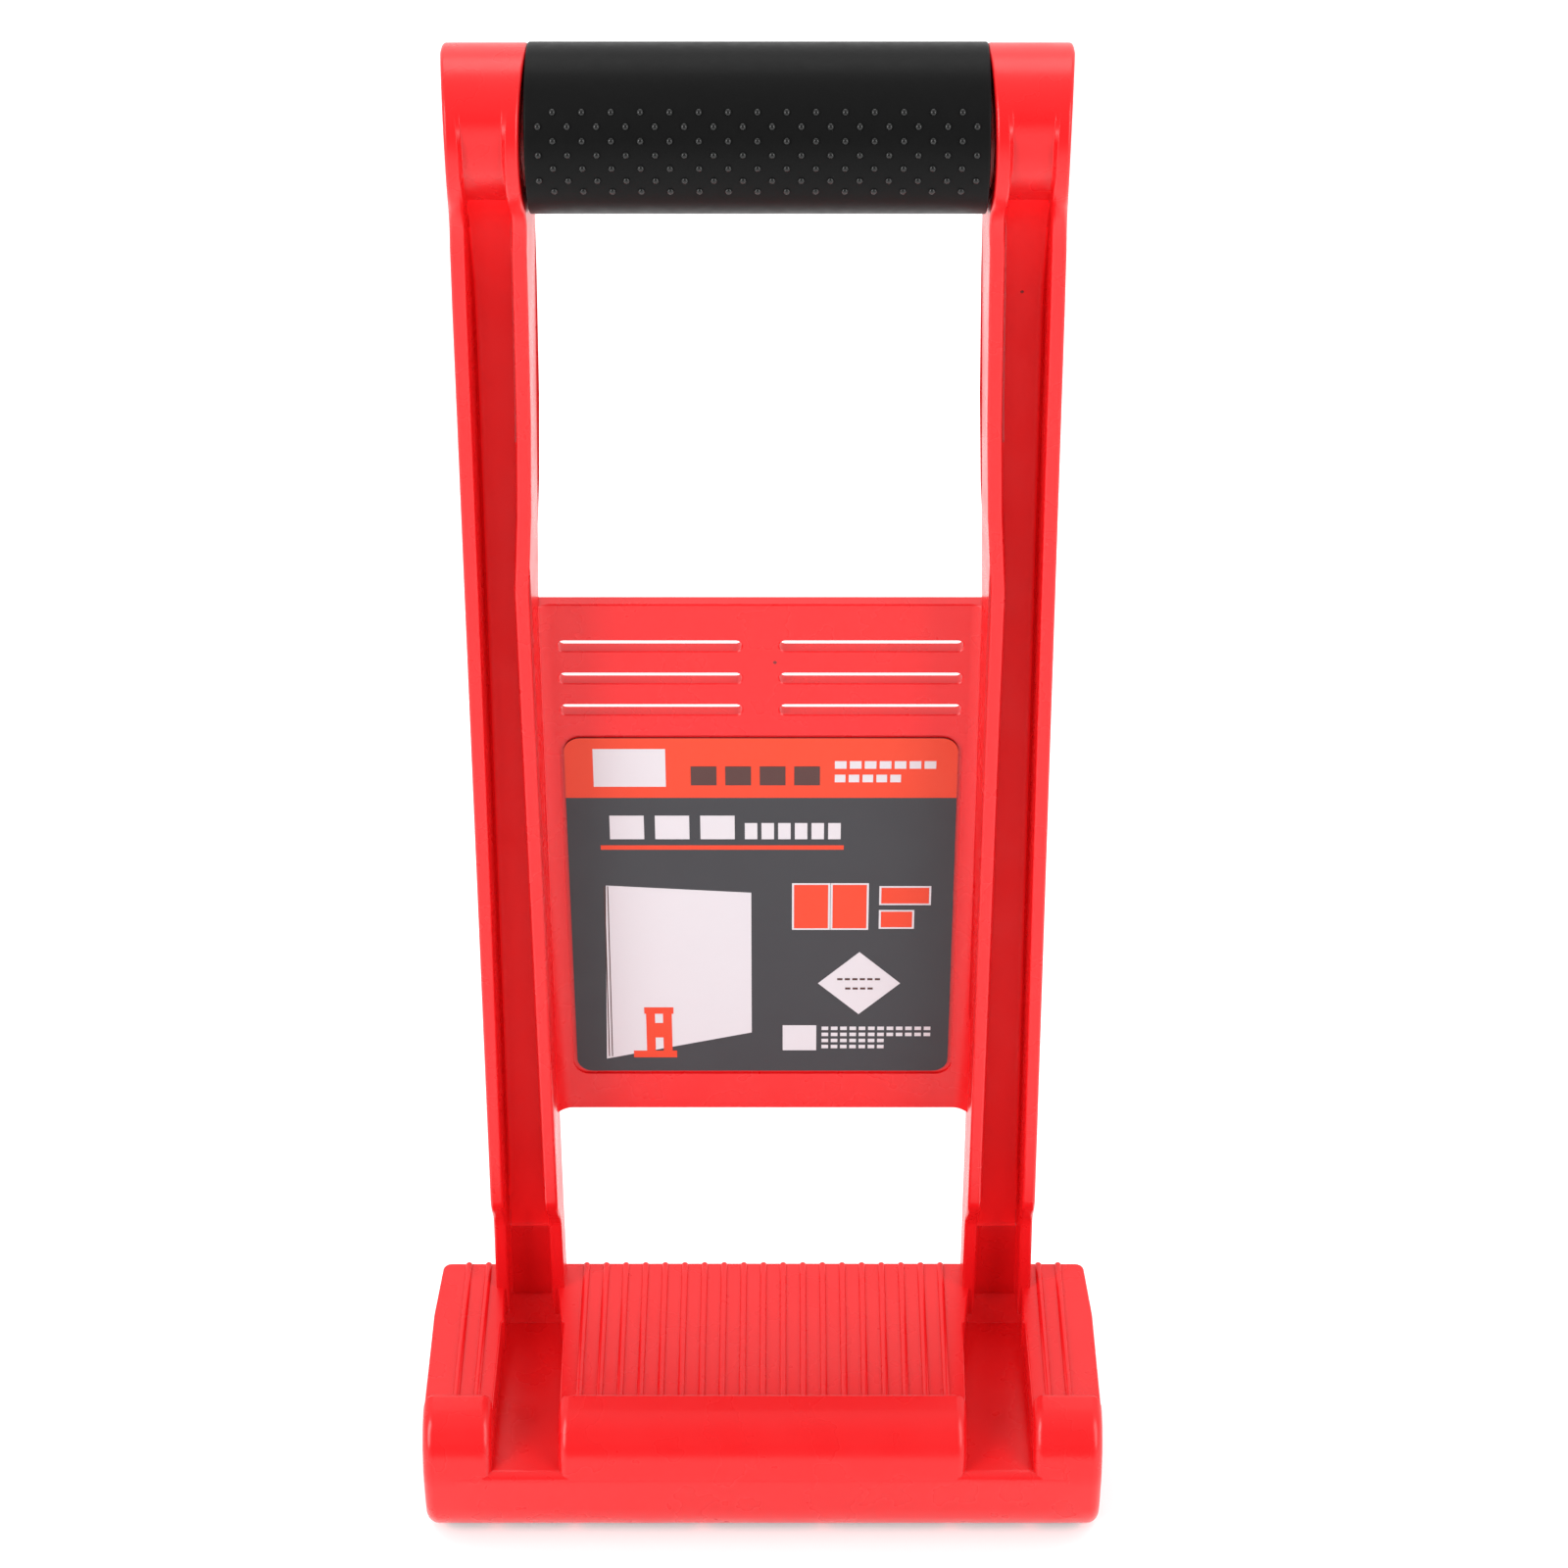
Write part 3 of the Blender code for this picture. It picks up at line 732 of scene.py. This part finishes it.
def specks(material, colour, places):
    """The plastic's colour with a small dark speck at each place."""
    nodes, links = material.node_tree.nodes, material.node_tree.links
    where = nodes.new("ShaderNodeTexCoord")
    result = None
    for centre, radius in places:
        distance = nodes.new("ShaderNodeVectorMath")
        distance.operation = "DISTANCE"
        distance.inputs[1].default_value = centre
        links.new(where.outputs["Object"], distance.inputs[0])
        near = nodes.new("ShaderNodeMath")
        near.operation = "LESS_THAN"
        near.inputs[1].default_value = radius
        links.new(distance.outputs["Value"], near.inputs[0])
        mix = nodes.new("ShaderNodeMix")
        mix.data_type = "RGBA"
        mix.inputs["A"].default_value = colour
        mix.inputs["B"].default_value = (0.18, 0.010, 0.010, 1)
        links.new(near.outputs["Value"], mix.inputs["Factor"])
        if result is not None:
            links.new(result, mix.inputs["A"])
        result = mix.outputs["Result"]
    return result


def red_plastic(name, strength, roughness, specular):
    """Moulded plastic, slightly uneven, with two dark specks in it."""
    colour = (strength, 0.0088 * strength, 0.0120 * strength, 1)
    material, shader = principled(name, colour, roughness)
    shader.inputs["Specular IOR Level"].default_value = specular
    value = noise(material, 90, 3)
    vary(material, value, roughness - 0.04, roughness + 0.05, shader.inputs["Roughness"])
    bump(material, shader, noise(material, 260, 2), 0.02, 0.0002)
    floor = FLANGE - channel_depth(296.7 * MM)
    places = [(place(3.0 * MM, PLATE_FRONT, 208.6 * MM), 0.4 * MM)]
    places.append((place(51.4 * MM, floor, 296.7 * MM), 0.35 * MM))
    material.node_tree.links.new(specks(material, colour, places), shader.inputs["Base Color"])
    return material


def dull_painted_light_channels(body):
    """Gives the channels' floors the second material: duller, and a brighter red that is painted light,
    standing in for light bounced around inside the channels.
    """
    for face in body.data.polygons:
        x, forward, z = abs(face.center.x), REAR - face.center.y, face.center.z
        if 49.0 * MM < x < 59.5 * MM and z > WEB_STEP and face.normal.y < -0.7:
            if forward < min(FLANGE, flange_front(z)) - 1.4 * MM:
                face.material_index = 1


def black_rubber(name, roughness, specular):
    material, shader = principled(name, (0.006, 0.006, 0.006, 1), roughness)
    shader.inputs["Specular IOR Level"].default_value = specular
    vary(material, noise(material, 400, 4), roughness, roughness + 0.08, shader.inputs["Roughness"])
    bump(material, shader, noise(material, 900, 3), 0.15, 0.0001)
    return material


def printed(name, colour):
    material, shader = principled(name, colour, 0.38)
    shader.inputs["Specular IOR Level"].default_value = 0.25
    vary(material, noise(material, 120, 2), 0.34, 0.44, shader.inputs["Roughness"])
    return material


# ---------------------------------------------------------------- stage


def camera():
    data = bpy.data.cameras.new("camera")
    data.lens = 83.7
    data.sensor_width = 36
    thing = added("camera", data)
    thing.location = place(4.9 * MM, 633 * MM, 643 * MM)
    thing.rotation_euler = (radians(90 - 36.5), 0, 0)
    bpy.context.scene.camera = thing


def area(name, location, target, size, power):
    data = bpy.data.lights.new(name, "AREA")
    data.shape = "RECTANGLE"
    data.size, data.size_y = size
    data.energy = power
    thing = added(name, data)
    thing.location = location
    thing.rotation_euler = (Vector(target) - Vector(location)).to_track_quat("-Z", "Y").to_euler()


def surroundings():
    """Soft light all round, dimmer towards the front, so that surfaces facing forward keep their colour."""
    world = bpy.context.scene.world or bpy.data.worlds.new("world")
    bpy.context.scene.world = world
    world.use_nodes = True
    nodes, links = world.node_tree.nodes, world.node_tree.links
    where = nodes.new("ShaderNodeTexCoord")
    parts = nodes.new("ShaderNodeSeparateXYZ")
    fade = nodes.new("ShaderNodeMapRange")
    for socket, value in (("From Min", -1.0), ("From Max", 0.3), ("To Min", 0.27), ("To Max", 1.15)):
        fade.inputs[socket].default_value = value
    links.new(where.outputs["Generated"], parts.inputs["Vector"])
    links.new(parts.outputs["Y"], fade.inputs["Value"])
    links.new(fade.outputs["Result"], nodes["Background"].inputs["Strength"])
    nodes["Background"].inputs["Color"].default_value = (1, 1, 1, 1)


def stage():
    shape = bmesh.new()
    bmesh.ops.create_grid(shape, x_segments=1, y_segments=1, size=40)
    thing = solid("floor", shape)
    thing.location.z = -0.2 * MM  # just clear of the foot
    pale, shader = principled("pale_floor", (0.88, 0.88, 0.88, 1), 0.6)
    shader.inputs["Emission Color"].default_value = (1, 1, 1, 1)
    shader.inputs["Emission Strength"].default_value = 0.22
    thing.data.materials.append(pale)
    surroundings()
    area("left_box", (-1.1, -0.8, 0.9), (0, 0, 0.15), (0.6, 1.1), 15)
    area("right_box", (1.1, -0.8, 0.85), (0, 0, 0.15), (0.6, 1.1), 11)
    area("back_box", (0, 0.7, 1.5), (0, 0, 0.1), (1.2, 0.6), 5)
    bpy.context.scene.view_settings.view_transform = "Standard"


def main():
    camera()
    stage()
    red = red_plastic("red_plastic", *RED_FINISH)
    body = moulding()
    body.data.materials.clear()
    body.data.materials.append(red)
    # the channels' floors get a second material whose brighter red is painted light, for the light bounced
    # inside them
    body.data.materials.append(red_plastic("red_plastic_dull_painted_light", *DULL_PAINTED_LIGHT_RED_FINISH))
    dull_painted_light_channels(body)
    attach(body, "root")
    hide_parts("centre_shelf", "left_shelf", "right_shelf", "centre_nose", "left_nose", "right_nose")
    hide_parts("left_trough", "right_trough", "left_upright", "right_upright", "centre_plate")
    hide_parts("left_handle_boss", "right_handle_boss")
    core_half = 44.5 * MM  # the core runs into the handle ends
    corners = [(-core_half, 8.2 * MM, 0.1 * MM), (-core_half, 11.2 * MM, 0.1 * MM)]
    corners += [(core_half, 11.2 * MM, 0.1 * MM), (core_half, 8.2 * MM, 0.1 * MM)]
    core = join("core_tube", [turned("core_wall", rounded(corners, 0.0, 2), 48)], red)
    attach(core, "root")
    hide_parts("handle_core")
    rubber = black_rubber("black_rubber", *SLEEVE_FINISH)
    sleeve = grip(rubber, black_rubber("black_rubber_bumps", *BUMP_FINISH))
    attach(sleeve, "root")
    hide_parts("grip_sleeve")
    label()


main()
